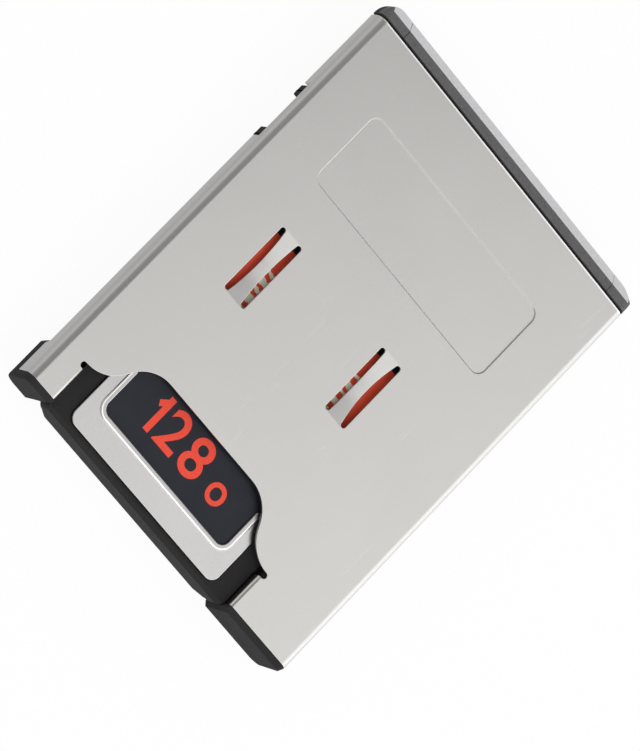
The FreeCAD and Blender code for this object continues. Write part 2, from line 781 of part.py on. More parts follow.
def make_nose_connector():
    body = new_body("nose_connector")
    half = CONNECTOR_HALF
    plan = box_loop(CONNECTOR_REAR, f"-{half}", NOSE, half)
    add(body, "block", "XY_Plane", [plan], "0", TOP)
    bevel_nose(body, with_lower=False)
    rear = f"({CONNECTOR_REAR} - {BEYOND})"
    steps = [
        box_loop(rear, UNDER_TOP, NOSE_STEP, f"({TOP} + {BEYOND})"),
        box_loop(rear, f"(-{BEYOND})", NOSE_STEP, "base_sheet"),
        box_loop(f"({NOSE_STEP} - fit)", f"(-{BEYOND})", f"({NOSE} + {BEYOND})", "chin_height"),
    ]
    cut(body, "cover_steps", "XZ_Plane", steps, f"(-{half} - {BEYOND})", f"({half} + {BEYOND})")
    slot_top = "(host_slot_floor + host_slot_height)"
    slot = round_loop(
        f"-{HOST_SLOT_HALF}", "host_slot_floor", HOST_SLOT_HALF, slot_top, "host_slot_corner")
    slot_end = f"({NOSE} - host_slot_depth)"
    cut(body, "host_slot", "YZ_Plane", [slot], slot_end, f"({NOSE} + {BEYOND})")
    first = FIRST_HOST_CONTACT
    room = "(host_contact_width / 2 + groove_clearance)"
    groove_top = f"({slot_top} + contact_sheet + 2 * groove_clearance)"
    groove = box_loop(
        f"({first} - {room})", f"({slot_top} - groove_clearance)", f"({first} + {room})", groove_top)
    groove_front = f"({NOSE} - nose_bevel)"
    one = cut(body, "groove", "YZ_Plane", [groove], rear, groove_front)
    repeat(body, one, "Y_Axis", HOST_PITCH, "host_contact_count")


def strip_profile(upper):
    """Section of a bent strip from the line of its upper face, given front to back."""
    points = [(x, z) for x, z, sheet_name in upper]
    under = [(x, f"{z} - {sheet_name}") for x, z, sheet_name in reversed(upper)]
    return points + under


def make_host_contacts():
    body = new_body("host_contacts")
    roof = "(host_slot_floor + host_slot_height + contact_sheet)"
    foot = f"({BOARD_TOP} + contact_sheet)"
    rear = CONNECTOR_REAR
    sheet_name = "contact_sheet"
    upper = [
        (f"({NOSE} - nose_bevel - 2 * groove_clearance)", roof, sheet_name),
        (f"({NOSE} - host_slot_depth / 2)", f"({roof} - host_contact_dip)", sheet_name),
        (f"({NOSE} - host_slot_depth)", roof, sheet_name),
        (f"({rear} - 2 * groove_clearance)", roof, sheet_name),
        (f"({rear} - host_tail_length / 3)", foot, sheet_name),
        (f"({rear} - host_tail_length)", foot, sheet_name),
    ]
    first = FIRST_HOST_CONTACT
    low = f"({first} - host_contact_width / 2)"
    high = f"({first} + host_contact_width / 2)"
    one = add(body, "strip", "XZ_Plane", [strip_profile(upper)], low, high)
    repeat(body, one, "Y_Axis", HOST_PITCH, "host_contact_count")


def make_circuit_board():
    body = new_body("circuit_board")
    rear = f"({SOCKET_FRONT} + fit)"
    front = f"({CONNECTOR_REAR} - fit)"
    plan = round_loop(rear, f"-{BOARD_HALF}", front, BOARD_HALF, "corner_round")
    add(body, "sheet", "XY_Plane", [plan], "board_lift", BOARD_TOP)


def make_row_of_blocks(name, count, reach, size_x, size_y, low, high, start_x, mid_y):
    """Group of small equal blocks along Y, with the end ones that reach from the middle."""
    body = new_body(name)
    first = f"({mid_y} - {reach})"
    plan = box_loop(
        start_x, f"({first} - {size_y} / 2)", f"({start_x} + {size_x})", f"({first} + {size_y} / 2)")
    one = add(body, "block", "XY_Plane", [plan], low, high)
    repeat(body, one, "Y_Axis", f"2 * {reach} / ({count} - 1)", count)


def make_board_parts():
    start = f"({SOCKET_FRONT} + part_gap)"
    make_row_of_blocks(
        "board_capacitors", "capacitor_count", f"({BOARD_HALF} - capacitor_margin)",
        "capacitor_width", "capacitor_length", BOARD_TOP, f"({BOARD_TOP} + capacitor_width)",
        start, "0")
    start = f"({start} + capacitor_width + part_gap)"
    make_row_of_blocks(
        "board_resistors", "resistor_count", f"({BOARD_HALF} - resistor_margin)",
        "resistor_width", "resistor_length", BOARD_TOP, f"({BOARD_TOP} + resistor_height)",
        start, "0")


def make_insulating_film():
    body = new_body("insulating_film")
    half = f"({CAVITY_HALF} - film_margin)"
    plan = round_loop(
        f"({CAVITY_REAR} + fit)", f"-{half}", f"({CONNECTOR_REAR} - fit)", half, "corner_round")
    add(body, "sheet", "XY_Plane", [plan], f"({UNDER_TOP} - film_thickness)", UNDER_TOP)


def make_card_socket():
    body = new_body("card_socket")
    low = f"({MIDDLE} - {SOCKET_HALF})"
    high = f"({MIDDLE} + {SOCKET_HALF})"
    plan = box_loop(SOCKET_REAR, low, SOCKET_FRONT, high)
    socket_top = f"({UNDER_TOP} - film_thickness - fit)"
    add(body, "block", "XY_Plane", [plan], "base_sheet", socket_top)
    first = FIRST_SPRING
    room = "(spring_width / 2 + groove_clearance)"
    groove_top = f"({CARD_UNDER} + groove_clearance)"
    groove = box_loop(f"({first} - {room})", f"(-{BEYOND})", f"({first} + {room})", groove_top)
    ends = (f"({SOCKET_REAR} - {BEYOND})", f"({SOCKET_FRONT} + {BEYOND})")
    one = cut(body, "groove", "YZ_Plane", [groove], *ends)
    repeat(body, one, "Y_Axis", SPRING_PITCH, "spring_count")


def make_socket_contacts():
    body = new_body("socket_contacts")
    level = f"({CARD_UNDER} - groove_clearance)"
    peak = f"({CARD_UNDER} + pad_room - pad_sheet - fit)"
    foot = "board_lift"
    sheet_name = "spring_sheet"
    tip = f"({CARD_FRONT} - spring_reach)"
    upper = [
        (f"({SOCKET_FRONT} + spring_tail)", foot, sheet_name),
        (f"({SOCKET_FRONT} + 3 * spring_sheet)", foot, sheet_name),
        (f"({SOCKET_FRONT} + spring_sheet)", f"({level} + spring_sheet)", sheet_name),
        (f"({SOCKET_FRONT} - spring_sheet)", level, sheet_name),
        (SOCKET_REAR, level, sheet_name),
        (f"({tip} + 4 * spring_lift)", peak, sheet_name),
        (tip, f"({peak} - spring_lift)", sheet_name),
    ]
    first = FIRST_SPRING
    low = f"({first} - spring_width / 2)"
    high = f"({first} + spring_width / 2)"
    one = add(body, "strip", "XZ_Plane", [strip_profile(upper)], low, high)
    repeat(body, one, "Y_Axis", SPRING_PITCH, "spring_count")


def card_profile():
    """Section of the small card: side rails, and a belly with sloped edges between them."""
    mid = MIDDLE
    half = "(card_width / 2)"
    belly = f"({half} - rail_width)"
    keel = f"({belly} - belly_slope)"
    slope_top = f"({CARD_UNDER} + belly_slope)"
    return [
        (f"{mid} - {keel}", CARD_UNDER),
        (f"{mid} + {keel}", CARD_UNDER),
        (f"{mid} + {belly}", slope_top),
        (f"{mid} + {belly}", RAIL_UNDER),
        (f"{mid} + {half}", RAIL_UNDER),
        (f"{mid} + {half}", RIM_TOP),
        (f"{mid} - {half}", RIM_TOP),
        (f"{mid} - {half}", RAIL_UNDER),
        (f"{mid} - {belly}", RAIL_UNDER),
        (f"{mid} - {belly}", slope_top),
    ]


def plate_loop(clear):
    half = f"({PLATE_HALF} + {clear})"
    return round_loop(
        f"({REAR} + plate_rear_margin - {clear})", f"({MIDDLE} - {half})",
        f"({CARD_FRONT} - plate_front_margin + {clear})", f"({MIDDLE} + {half})",
        "plate_corner")


def card_corner_waste(x_side, y_side):
    """What is cut from one plan corner of the card to round it."""
    x_edge = REAR if x_side < 0 else CARD_FRONT
    y_edge = f"({MIDDLE} + {y_side} * card_width / 2)"
    x_in = f"({x_edge} - {x_side} * card_corner)"
    y_in = f"({y_edge} - {y_side} * card_corner)"
    x_out = f"({x_edge} + {x_side} * {BEYOND})"
    y_out = f"({y_edge} + {y_side} * {BEYOND})"
    turn = -x_side * y_side
    return [
        (x_in, y_edge, "card_corner", turn),
        (x_edge, y_in),
        (x_out, y_in),
        (x_out, y_out),
        (x_in, y_out),
    ]


def end_bevel_loop(end, side):
    """Slope along the top edge of one end of the card."""
    return [
        (f"{end} - {side} * card_end_bevel", RIM_TOP),
        (end, f"{RIM_TOP} - card_end_bevel"),
        (f"{end} + {side} * {BEYOND}", f"{RIM_TOP} - card_end_bevel"),
        (f"{end} + {side} * {BEYOND}", f"{TOP} + {BEYOND}"),
        (f"{end} - {side} * card_end_bevel", f"{TOP} + {BEYOND}"),
    ]


def make_card_shell():
    body = new_body("card_shell")
    add(body, "block", "YZ_Plane", [card_profile()], REAR, CARD_FRONT)
    corners = [card_corner_waste(x, y) for x in (-1, 1) for y in (-1, 1)]
    cut(body, "corners", "XY_Plane", corners, f"(-{BEYOND})", f"({TOP} + {BEYOND})")
    sides = (f"({MIDDLE} - {HALF})", f"({MIDDLE} + {HALF})")
    bevels = [end_bevel_loop(REAR, -1), end_bevel_loop(CARD_FRONT, 1)]
    cut(body, "end_bevels", "XZ_Plane", bevels, *sides)
    above = f"({TOP} + {BEYOND})"
    cut(body, "plate_seat", "XY_Plane", [plate_loop("fit")], PLATE_UNDER, above)
    cavity = round_loop(
        f"({REAR} + shell_wall)", f"({MIDDLE} - {SHELL_HALF})",
        f"({CARD_FRONT} - shell_wall)", f"({MIDDLE} + {SHELL_HALF})", "corner_round")
    cut(body, "cavity", "XY_Plane", [cavity], SHELL_FLOOR, above)
    first = FIRST_SPRING
    channel = box_loop(
        f"({CARD_FRONT} - pad_reach)", f"({first} - pad_width / 2)",
        f"({CARD_FRONT} + {BEYOND})", f"({first} + pad_width / 2)")
    room = f"({CARD_UNDER} + pad_room)"
    one = cut(body, "channel", "XY_Plane", [channel], f"(-{BEYOND})", room)
    repeat(body, one, "Y_Axis", SPRING_PITCH, "spring_count")


def label_loop(grow):
    """Outline of the label, with a narrower end towards the mouth."""
    mid = MIDDLE
    rear = f"({LABEL_REAR} - ({grow}))"
    front = f"({LABEL_FRONT} + ({grow}))"
    narrow = f"({PLATE_HALF} - label_side_margin + ({grow}))"
    wide = f"({PLATE_HALF} - label_full_margin + ({grow}))"
    neck = f"({LABEL_REAR} + label_neck)"
    slope = f"({neck} + {wide} - {narrow})"
    corner = f"(label_corner + ({grow}))"
    return [
        (f"{rear} + {corner}", f"{mid} - {narrow}"),
        (neck, f"{mid} - {narrow}"),
        (slope, f"{mid} - {wide}"),
        (front, f"{mid} - {wide}"),
        (front, f"{mid} + {wide}"),
        (slope, f"{mid} + {wide}"),
        (neck, f"{mid} + {narrow}"),
        (f"{rear} + {corner}", f"{mid} + {narrow}", corner, 1),
        (rear, f"{mid} + {narrow} - {corner}"),
        (rear, f"{mid} - {narrow} + {corner}", corner, 1),
    ]


def make_card_plate():
    body = new_body("card_plate")
    add(body, "sheet", "XY_Plane", [plate_loop("0")], PLATE_UNDER, PLATE_TOP)
    ring = [label_loop("ridge_width"), label_loop("0")]
    add(body, "ridge", "XY_Plane", ring, PLATE_TOP, CARD_TOP)
    cut(body, "label_seat", "XY_Plane", [label_loop("0")], LABEL_FLOOR, f"({TOP} + {BEYOND})")


def make_card_label():
    body = new_body("card_label")
    add(body, "film", "XY_Plane", [label_loop("-fit")], LABEL_FLOOR, f"({LABEL_FLOOR} + label_film)")


def make_card_contacts():
    first = FIRST_SPRING
    body = new_body("card_contacts")
    half = "(spring_width / 2)"
    top = f"({CARD_UNDER} + pad_room)"
    plan = box_loop(
        f"({CARD_FRONT} - pad_reach + fit)", f"({first} - {half})",
        f"({CARD_FRONT} - card_corner)", f"({first} + {half})")
    one = add(body, "pad", "XY_Plane", [plan], f"({top} - pad_sheet)", top)
    repeat(body, one, "Y_Axis", SPRING_PITCH, "spring_count")


def make_card_inside():
    inset = "card_board_inset"
    half = f"({SHELL_HALF} - {inset})"
    board = new_body("card_board")
    plan = box_loop(
        f"({REAR} + shell_wall + {inset})", f"({MIDDLE} - {half})",
        f"({CARD_FRONT} - shell_wall - {inset})", f"({MIDDLE} + {half})")
    add(board, "sheet", "XY_Plane", [plan], SHELL_FLOOR, CARD_BOARD_TOP)
    chip = new_body("card_controller")
    start = CONTROLLER_START
    low = f"({MIDDLE} - controller_size / 2)"
    high = f"({MIDDLE} + controller_size / 2)"
    plan = box_loop(start, low, f"({start} + controller_size)", high)
    add(chip, "block", "XY_Plane", [plan], CARD_BOARD_TOP, CHIP_TOP)
    pad = new_body("thermal_pad")
    plan = box_loop(
        f"({start} + thermal_margin)", f"({low} + thermal_margin)",
        f"({start} + controller_size - thermal_margin)", f"({high} - thermal_margin)")
    add(pad, "block", "XY_Plane", [plan], CHIP_TOP, PLATE_UNDER)
    memory = new_body("card_memory_chips")
    start = f"({REAR} + memory_start)"
    pitch = f"(({CONTROLLER_START} - {start}) / memory_count)"
    half = f"({SHELL_HALF} - memory_margin)"
    plan = box_loop(
        start, f"({MIDDLE} - {half})", f"({start} + {pitch} - memory_gap)", f"({MIDDLE} + {half})")
    one = add(memory, "block", "XY_Plane", [plan], CARD_BOARD_TOP, CHIP_TOP)
    repeat(memory, one, "X_Axis", pitch, "memory_count")
    make_row_of_blocks(
        "card_capacitors", "filter_count", f"({SHELL_HALF} - filter_side_margin)",
        "filter_size / 2", "filter_size", CARD_BOARD_TOP,
        f"({CARD_BOARD_TOP} + filter_height)", f"({CARD_FRONT} - filter_margin)",
        MIDDLE)


def write_parts():
    """Stop at any failed object or shape, then write one file for each body."""
    doc.recompute()
    for thing in doc.Objects:
        if "Invalid" in thing.State or "Error" in thing.State:
            raise ValueError(f"{thing.Name} failed: {thing.State}")
    for body in bodies:
        if body.Shape.isNull() or not body.Shape.isValid():
            raise ValueError(f"{body.Label} has no valid shape")
    os.makedirs("parts", exist_ok=True)
    for body in bodies:
        body.Shape.exportStep(f"parts/{body.Label}.step")
        print(body.Label, len(body.Shape.Solids), "solids", round(body.Shape.Volume, 3), "mm3")


fill_sheet()
make_frame()
make_top_cover()
make_bottom_cover()
make_nose_connector()
make_host_contacts()
make_circuit_board()
make_board_parts()
make_insulating_film()
make_card_socket()
make_socket_contacts()
make_card_shell()
make_card_plate()
make_card_label()
make_card_contacts()
make_card_inside()
write_parts()
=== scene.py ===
import bpy
import math
from mathutils import Matrix, Vector


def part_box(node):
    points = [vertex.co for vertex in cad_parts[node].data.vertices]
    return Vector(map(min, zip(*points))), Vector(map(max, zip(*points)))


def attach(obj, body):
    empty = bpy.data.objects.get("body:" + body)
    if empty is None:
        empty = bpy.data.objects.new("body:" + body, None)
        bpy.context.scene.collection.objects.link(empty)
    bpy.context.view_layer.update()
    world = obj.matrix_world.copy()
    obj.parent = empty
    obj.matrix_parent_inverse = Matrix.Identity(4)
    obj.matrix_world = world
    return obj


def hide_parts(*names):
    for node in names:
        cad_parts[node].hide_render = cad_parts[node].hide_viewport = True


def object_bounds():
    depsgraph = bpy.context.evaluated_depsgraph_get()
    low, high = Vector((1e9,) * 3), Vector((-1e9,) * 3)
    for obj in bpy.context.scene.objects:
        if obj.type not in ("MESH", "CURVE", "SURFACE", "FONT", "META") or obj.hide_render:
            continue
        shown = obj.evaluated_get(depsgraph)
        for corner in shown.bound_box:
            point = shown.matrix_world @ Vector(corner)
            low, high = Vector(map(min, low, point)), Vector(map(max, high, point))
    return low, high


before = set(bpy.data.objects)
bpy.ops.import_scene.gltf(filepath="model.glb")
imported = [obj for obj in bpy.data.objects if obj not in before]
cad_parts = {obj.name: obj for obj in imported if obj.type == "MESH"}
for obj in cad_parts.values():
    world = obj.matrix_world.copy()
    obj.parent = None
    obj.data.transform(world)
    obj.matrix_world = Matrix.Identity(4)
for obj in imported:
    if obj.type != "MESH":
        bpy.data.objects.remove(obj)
cad_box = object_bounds()

# Looks of a memory card adapter that carries a smaller card. Lengths are in metres.
# +X points to the nose, +Y to the narrow side rail, +Z out of the vented cover.
MM = 0.001
LOW_CORNER, HIGH_CORNER = cad_box
COVER_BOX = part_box("top_cover")
LABEL_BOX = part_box("card_label")
SLOT_MIDDLE = (LABEL_BOX[0].y + LABEL_BOX[1].y) / 2


def tone(red, green, blue):
    return (red, green, blue, 1.0)


# Deep and pale tone of each finish
COVER_TONES = (tone(0.468, 0.459, 0.446), tone(0.510, 0.500, 0.486))
PLATE_TONES = (tone(0.455, 0.446, 0.443), tone(0.495, 0.485, 0.482))
FRAME_TONES = (tone(0.024, 0.024, 0.025), tone(0.038, 0.038, 0.039))
CONNECTOR_TONES = (tone(0.022, 0.022, 0.023), tone(0.036, 0.036, 0.037))
CARD_TONES = (tone(0.021, 0.021, 0.021), tone(0.033, 0.033, 0.033))
SOCKET_TONES = (tone(0.06, 0.06, 0.06), tone(0.09, 0.09, 0.09))
CHIP_TONES = (tone(0.022, 0.022, 0.023), tone(0.04, 0.04, 0.042))
PAD_TONES = (tone(0.38, 0.40, 0.43), tone(0.50, 0.52, 0.56))
CERAMIC_TONES = (tone(0.28, 0.21, 0.15), tone(0.42, 0.33, 0.24))
GOLD_TONES = (tone(0.80, 0.55, 0.20), tone(0.90, 0.72, 0.40))
LAMINATE_TONES = (tone(0.02, 0.13, 0.06), tone(0.06, 0.26, 0.12))
FILM_TONES = (tone(0.55, 0.27, 0.05), tone(0.72, 0.42, 0.12))
INK_TONES = (tone(0.74, 0.045, 0.022), tone(0.86, 0.085, 0.045))
LABEL_DARK_TONES = (tone(0.010, 0.011, 0.017), tone(0.018, 0.020, 0.028))
LABEL_RED_TONES = (tone(0.80, 0.07, 0.035), tone(0.95, 0.13, 0.06))
BAND_TONES = (tone(0.07, 0.07, 0.069), tone(0.165, 0.165, 0.166))
# The bevel's tones are a painted highlight
BEVEL_HIGHLIGHT_TONES = (tone(0.44, 0.44, 0.45), tone(0.72, 0.72, 0.73))
FLOOR_TONES = (tone(0.88, 0.88, 0.88), tone(0.92, 0.92, 0.92))

# Tones of single marks; the highlight, bend highlight, side shade and ridge shade tones are painted
# light
LABEL_CREAM = tone(1.0, 0.97, 0.78)
BEND_HIGHLIGHT_TONE = tone(0.70, 0.695, 0.69)
SIDE_SHADE_TONE = tone(0.375, 0.37, 0.36)
PAINTED_HIGHLIGHT_TONE = tone(0.86, 0.85, 0.84)
RIDGE_SHADE_TONE = tone(0.43, 0.422, 0.42)
BLACK = tone(0, 0, 0)
WHITE = tone(1, 1, 1)


class Value:
    """One socket of a finish. An expression on it adds the Math nodes that it stands for."""

    def __init__(self, finish, socket):
        self.finish = finish
        self.socket = socket

    def maths(self, operation, first, second):
        return self.finish.node("ShaderNodeMath", {"operation": operation}, {0: first, 1: second})

    def __add__(self, other):
        return self.maths("ADD", self, other)

    def __radd__(self, other):
        return self.maths("ADD", other, self)

    def __sub__(self, other):
        return self.maths("SUBTRACT", self, other)

    def __rsub__(self, other):
        return self.maths("SUBTRACT", other, self)

    def __mul__(self, other):
        return self.maths("MULTIPLY", self, other)

    def __gt__(self, other):
        return self.maths("GREATER_THAN", self, other)

    def __lt__(self, other):
        return self.maths("LESS_THAN", self, other)

    def __abs__(self):
        return self.maths("ABSOLUTE", self, 0.0)

    def clipped(self):
        return self.finish.node("ShaderNodeClamp", {}, {"Value": self})


# Each finish's material by its plain name
FINISHES = {}


class Finish:
    """A material that is made node by node."""

    def __init__(self, name):
        self.name = name
        self.material = bpy.data.materials.new(name)
        self.material.use_nodes = True
        self.tree = self.material.node_tree
        self.tree.nodes.clear()

    def node(self, kind, settings, inputs, output=0):
        """Add one node: its settings first, then the values or links of its sockets."""
        made = self.tree.nodes.new(kind)
        for name, value in settings.items():
            setattr(made, name, value)
        for place, value in inputs.items():
            if isinstance(value, Value):
                self.tree.links.new(value.socket, made.inputs[place])
            else:
                made.inputs[place].default_value = value
        return Value(self, made.outputs[output]) if made.outputs else None

    def point(self):
        return self.node("ShaderNodeTexCoord", {}, {}, "Object")

    def coordinates(self):
        """How far the point lies along, across and up the object."""
        inputs = {0: self.point()}
        return [self.node("ShaderNodeSeparateXYZ", {}, inputs, axis) for axis in ("X", "Y", "Z")]

    def place(self, stretch=(1, 1, 1)):
        """The point on the piece in millimetres, stretched per axis."""
        scale = [share / MM for share in stretch]
        return self.node("ShaderNodeMapping", {}, {"Vector": self.point(), "Scale": scale})

    def noise(self, scale, detail=2.0, stretch=(1, 1, 1)):
        inputs = {"Vector": self.place(stretch), "Scale": scale, "Detail": detail}
        return self.node("ShaderNodeTexNoise", {}, inputs, "Fac")

    def mix(self, share, first, second):
        inputs = {0: share, 6: first, 7: second}
        return self.node("ShaderNodeMix", {"data_type": "RGBA"}, inputs, 2)

    def bump(self, height, distance):
        inputs = {"Height": height, "Distance": distance, "Strength": 1.0}
        return self.node("ShaderNodeBump", {}, inputs)

    def surface(self, inputs):
        self.output(self.node("ShaderNodeBsdfPrincipled", {}, inputs))

    def output(self, shader):
        """Close the finish with its shader and keep its material."""
        self.node("ShaderNodeOutputMaterial", {}, {"Surface": shader})
        FINISHES[self.name] = self.material


CLOUD_SHARE = 0.7
GRAIN_SHARE = 0.6
SHEEN_SPREAD = 0.05
MARK_LEVEL = 0.74
MARK_DEPTH = 0.03
MARK_POLISH = 0.02


def sheet_metal(name, tones, roughness, grain_depth, tint=None):
    """Satin sheet: faint cloudy tone, fine rolling grain along the length, a few hairline marks."""
    finish = Finish(name)
    cloud = finish.noise(scale=0.16, detail=3.0)
    grain = finish.noise(scale=7.0, detail=3.0, stretch=(0.12, 1.0, 1.0))
    speck = finish.noise(scale=24.0)
    marks = finish.noise(scale=2.2, detail=1.0, stretch=(0.1, 1.0, 1.0)) > MARK_LEVEL
    colour = finish.mix(cloud * CLOUD_SHARE + grain * (1 - CLOUD_SHARE), *tones)
    if tint:
        colour = tint(finish, colour)
    height = grain * GRAIN_SHARE + speck * (1 - GRAIN_SHARE) - marks * MARK_DEPTH
    sheen = roughness + grain * SHEEN_SPREAD + speck * SHEEN_SPREAD - marks * MARK_POLISH
    finish.surface({
        "Base Color": colour,
        "Metallic": 1.0,
        "Roughness": sheen,
        "Normal": finish.bump(height, grain_depth),
    })


# Where the cover's painted highlights and painted shade lie
NOSE_HIGHLIGHT_START = COVER_BOX[1].x - 0.13 * MM
BEND_HIGHLIGHT_SIDE = LOW_CORNER.y + 0.38 * MM
BEND_HIGHLIGHT_FOOT = HIGH_CORNER.z - 0.72 * MM
SIDE_SHADE_EDGE = HIGH_CORNER.y - 0.35 * MM


def painted_edge_light(finish, colour):
    """The cover gets a painted highlight at its nose edge and on its wide side's bend, and painted
    shade on its narrow side.
    """
    along, across, up = finish.coordinates()
    # Painted highlight along the nose edge of the cover
    colour = finish.mix(along > NOSE_HIGHLIGHT_START, colour, PAINTED_HIGHLIGHT_TONE)
    # Painted highlight on the outer bend of the wide side
    bend = (across < BEND_HIGHLIGHT_SIDE) * (up > BEND_HIGHLIGHT_FOOT)
    colour = finish.mix(bend, colour, BEND_HIGHLIGHT_TONE)
    # Painted shade on the narrow side
    return finish.mix(across > SIDE_SHADE_EDGE, colour, SIDE_SHADE_TONE)


# The ridge's corner arc has its centre here, and its radii are in millimetres
RIDGE_CORNER = LABEL_BOX[0].x + 0.68 * MM
RIDGE_SIDE = 6.195 * MM
RIDGE_UNIT = 1 / MM
RIDGE_INNER = 0.69
RIDGE_SLOPE = 0.98
RIDGE_OUTER = 1.14
RIDGE_END = LABEL_BOX[0].x + 3.6 * MM


def ridge_highlight_and_shade(finish, colour):
    """Painted highlight on the outer slope of the ridge round the label, and a little darker
    painted shade on its top.
    """
    along, across, _ = finish.coordinates()
    past_rear = RIDGE_CORNER - along
    past_side = abs(across - SLOT_MIDDLE) - RIDGE_SIDE
    past_rear = past_rear * (past_rear > 0.0) * RIDGE_UNIT
    past_side = past_side * (past_side > 0.0) * RIDGE_UNIT
    reach = past_rear * past_rear + past_side * past_side
    near = along < RIDGE_END
    # Painted shade on the ridge top and painted highlight on its outer slope
    top = (reach > RIDGE_INNER ** 2) * (reach < RIDGE_SLOPE ** 2) * near
    slope = (reach > RIDGE_SLOPE ** 2) * (reach < RIDGE_OUTER ** 2) * near
    colour = finish.mix(top, colour, RIDGE_SHADE_TONE)
    return finish.mix(slope, colour, PAINTED_HIGHLIGHT_TONE)


FLOW_SHARE = 0.6
PIT_SPREAD = 0.14
RUB_LEVEL = 0.64
RUB_POLISH = 0.07


def moulded(name, tones, roughness, texture, depth, gloss=0.5, tint=None):
    """Moulded plastic: spark-eroded texture, slow changes of tone from the flow, rubbed spots."""
    finish = Finish(name)
    flow = finish.noise(scale=0.35)
    pits = finish.noise(scale=texture, detail=3.0)
    rubbed = finish.noise(scale=1.3, detail=4.0) > RUB_LEVEL
    colour = finish.mix(flow * FLOW_SHARE + pits * (1 - FLOW_SHARE), *tones)
    if tint:
        colour = tint(finish, colour, pits)
    finish.surface({
        "Base Color": colour,
        "Roughness": roughness + pits * PIT_SPREAD - rubbed * RUB_POLISH,
        "Specular IOR Level": gloss,
        "Normal": finish.bump(pits, depth),
    })


BEVEL_DEPTH = 0.87 * MM
BEVEL_START = HIGH_CORNER.x - BEVEL_DEPTH
BEVEL_FOOT = HIGH_CORNER.z - BEVEL_DEPTH
BEVEL_REACH = 14.35 * MM
BAND_START = COVER_BOX[1].x + 0.19 * MM


def pale_nose_bevel_highlight(finish, colour, pits):
    """The nose band is paler than the rest, and its bevel is paler still as a painted highlight."""
    along, across, up = finish.coordinates()
    band = (along > BAND_START) * (up > BEVEL_FOOT)
    # Painted highlight on the nose bevel
    bevel = (along > BEVEL_START) * (up > BEVEL_FOOT) * (abs(across) < BEVEL_REACH)
    colour = finish.mix(band, colour, finish.mix(pits, *BAND_TONES))
    return finish.mix(bevel, colour, finish.mix(pits, *BEVEL_HIGHLIGHT_TONES))


def plated_gold():
    """Bright plating over nickel, a little paler where other contacts have wiped it."""
    finish = Finish("contact_gold")
    wipe = finish.noise(scale=1.1, stretch=(0.3, 2.0, 1.0))
    grain = finish.noise(scale=18.0)
    finish.surface({
        "Base Color": finish.mix(wipe, *GOLD_TONES),
        "Metallic": 1.0,
        "Roughness": 0.18 + grain * 0.14,
        "Normal": finish.bump(grain, 0.002 * MM),
    })


def laminate():
    """Green solder mask with faint tracks under it and the weave of the glass cloth."""
    finish = Finish("board_laminate")
    tracks = finish.node("ShaderNodeTexBrick", {}, {
        "Vector": finish.place(),
        "Scale": 1.6,
        "Mortar Size": 0.06,
        "Color1": BLACK,
        "Color2": BLACK,
        "Mortar": WHITE,
    }, "Fac")
    weave = finish.noise(scale=9.0, detail=1.0)
    finish.surface({
        "Base Color": finish.mix(tracks * 0.8, *LAMINATE_TONES),
        "Roughness": 0.28 + weave * 0.1,
        "Normal": finish.bump(tracks + weave * 0.2, 0.01 * MM),
    })


def amber_film():
    """Thin insulating film, amber and glossy, with faint waves."""
    finish = Finish("amber_film")
    wave = finish.noise(scale=0.6, detail=1.0)
    finish.surface({
        "Base Color": finish.mix(wave, *FILM_TONES),
        "Roughness": 0.16 + wave * 0.1,
        "Normal": finish.bump(wave, 0.02 * MM),
    })


# Middle and half width of each cream bar, in millimetres along the card
LABEL_BARS = ((-4.25, 0.45), (-3.10, 0.26), (-2.30, 0.14), (-1.55, 0.24), (-0.75, 0.12))
RED_FIELD_START = -5.3 * MM
# Dark bar of painted shade under the nose ends of the vents
VENT_SHADE_MIDDLE = 2.05 * MM
VENT_SHADE_HALF = 0.5 * MM
BAR_REACH = 5.6 * MM
BAR_WAVER = 0.6 * MM


def printed_label_vent_shade():
    """Printed film: blue-black towards the mouth, red further in, cream bars across the red, and a
    dark bar of painted shade at the nose ends of the vents.
    """
    finish = Finish("label_print_vent_shade")
    along, across, _ = finish.coordinates()
    off_middle = abs(across - SLOT_MIDDLE)
    # Dark bar of painted shade at the nose ends of the vents
    vent_end_shade = abs(along - VENT_SHADE_MIDDLE) < VENT_SHADE_HALF
    red_field = (along > RED_FIELD_START) * (1.0 - vent_end_shade)
    waver = along + finish.noise(scale=1.6, detail=1.0) * BAR_WAVER - BAR_WAVER / 2
    bars = 0.0
    for middle, half in LABEL_BARS:
        bars = bars + (abs(waver - middle * MM) < half * MM)
    bars = bars * (off_middle < BAR_REACH)
    ink = finish.noise(scale=14.0)
    shade = finish.noise(scale=0.5)
    dark = finish.mix(shade, *LABEL_DARK_TONES)
    red = finish.mix(shade, *LABEL_RED_TONES)
    colour = finish.mix(bars, finish.mix(red_field, dark, red), LABEL_CREAM)
    finish.surface({
        "Base Color": colour,
        "Specular IOR Level": 0.2,
        "Roughness": 0.34 + ink * 0.14,
        "Normal": finish.bump(ink, 0.003 * MM),
    })


def print_ink():
    """Red-orange ink of the numerals."""
    finish = Finish("numeral_ink")
    body = finish.noise(scale=5.0, detail=3.0)
    finish.surface({
        "Base Color": finish.mix(body, *INK_TONES),
        "Specular IOR Level": 0.25,
        "Roughness": 0.4 + body * 0.12,
        "Normal": finish.bump(body, 0.002 * MM),
    })


FLOOR_GLOW = 0.95


def floor_white():
    """White floor that the camera and the metal see as white, and that keeps a soft shadow."""
    finish = Finish("floor_white")
    fibre = finish.noise(scale=0.02)
    paper = finish.node("ShaderNodeBsdfDiffuse", {}, {"Color": finish.mix(fibre, *FLOOR_TONES)})
    glow = finish.node("ShaderNodeEmission", {}, {"Color": WHITE, "Strength": 1.0})
    rays = 0.0
    for kind in ("Is Camera Ray", "Is Glossy Ray", "Is Transmission Ray"):
        rays = rays + finish.node("ShaderNodeLightPath", {}, {}, kind)
    share = rays.clipped() * FLOOR_GLOW
    finish.output(finish.node("ShaderNodeMixShader", {}, {0: share, 1: paper, 2: glow}))


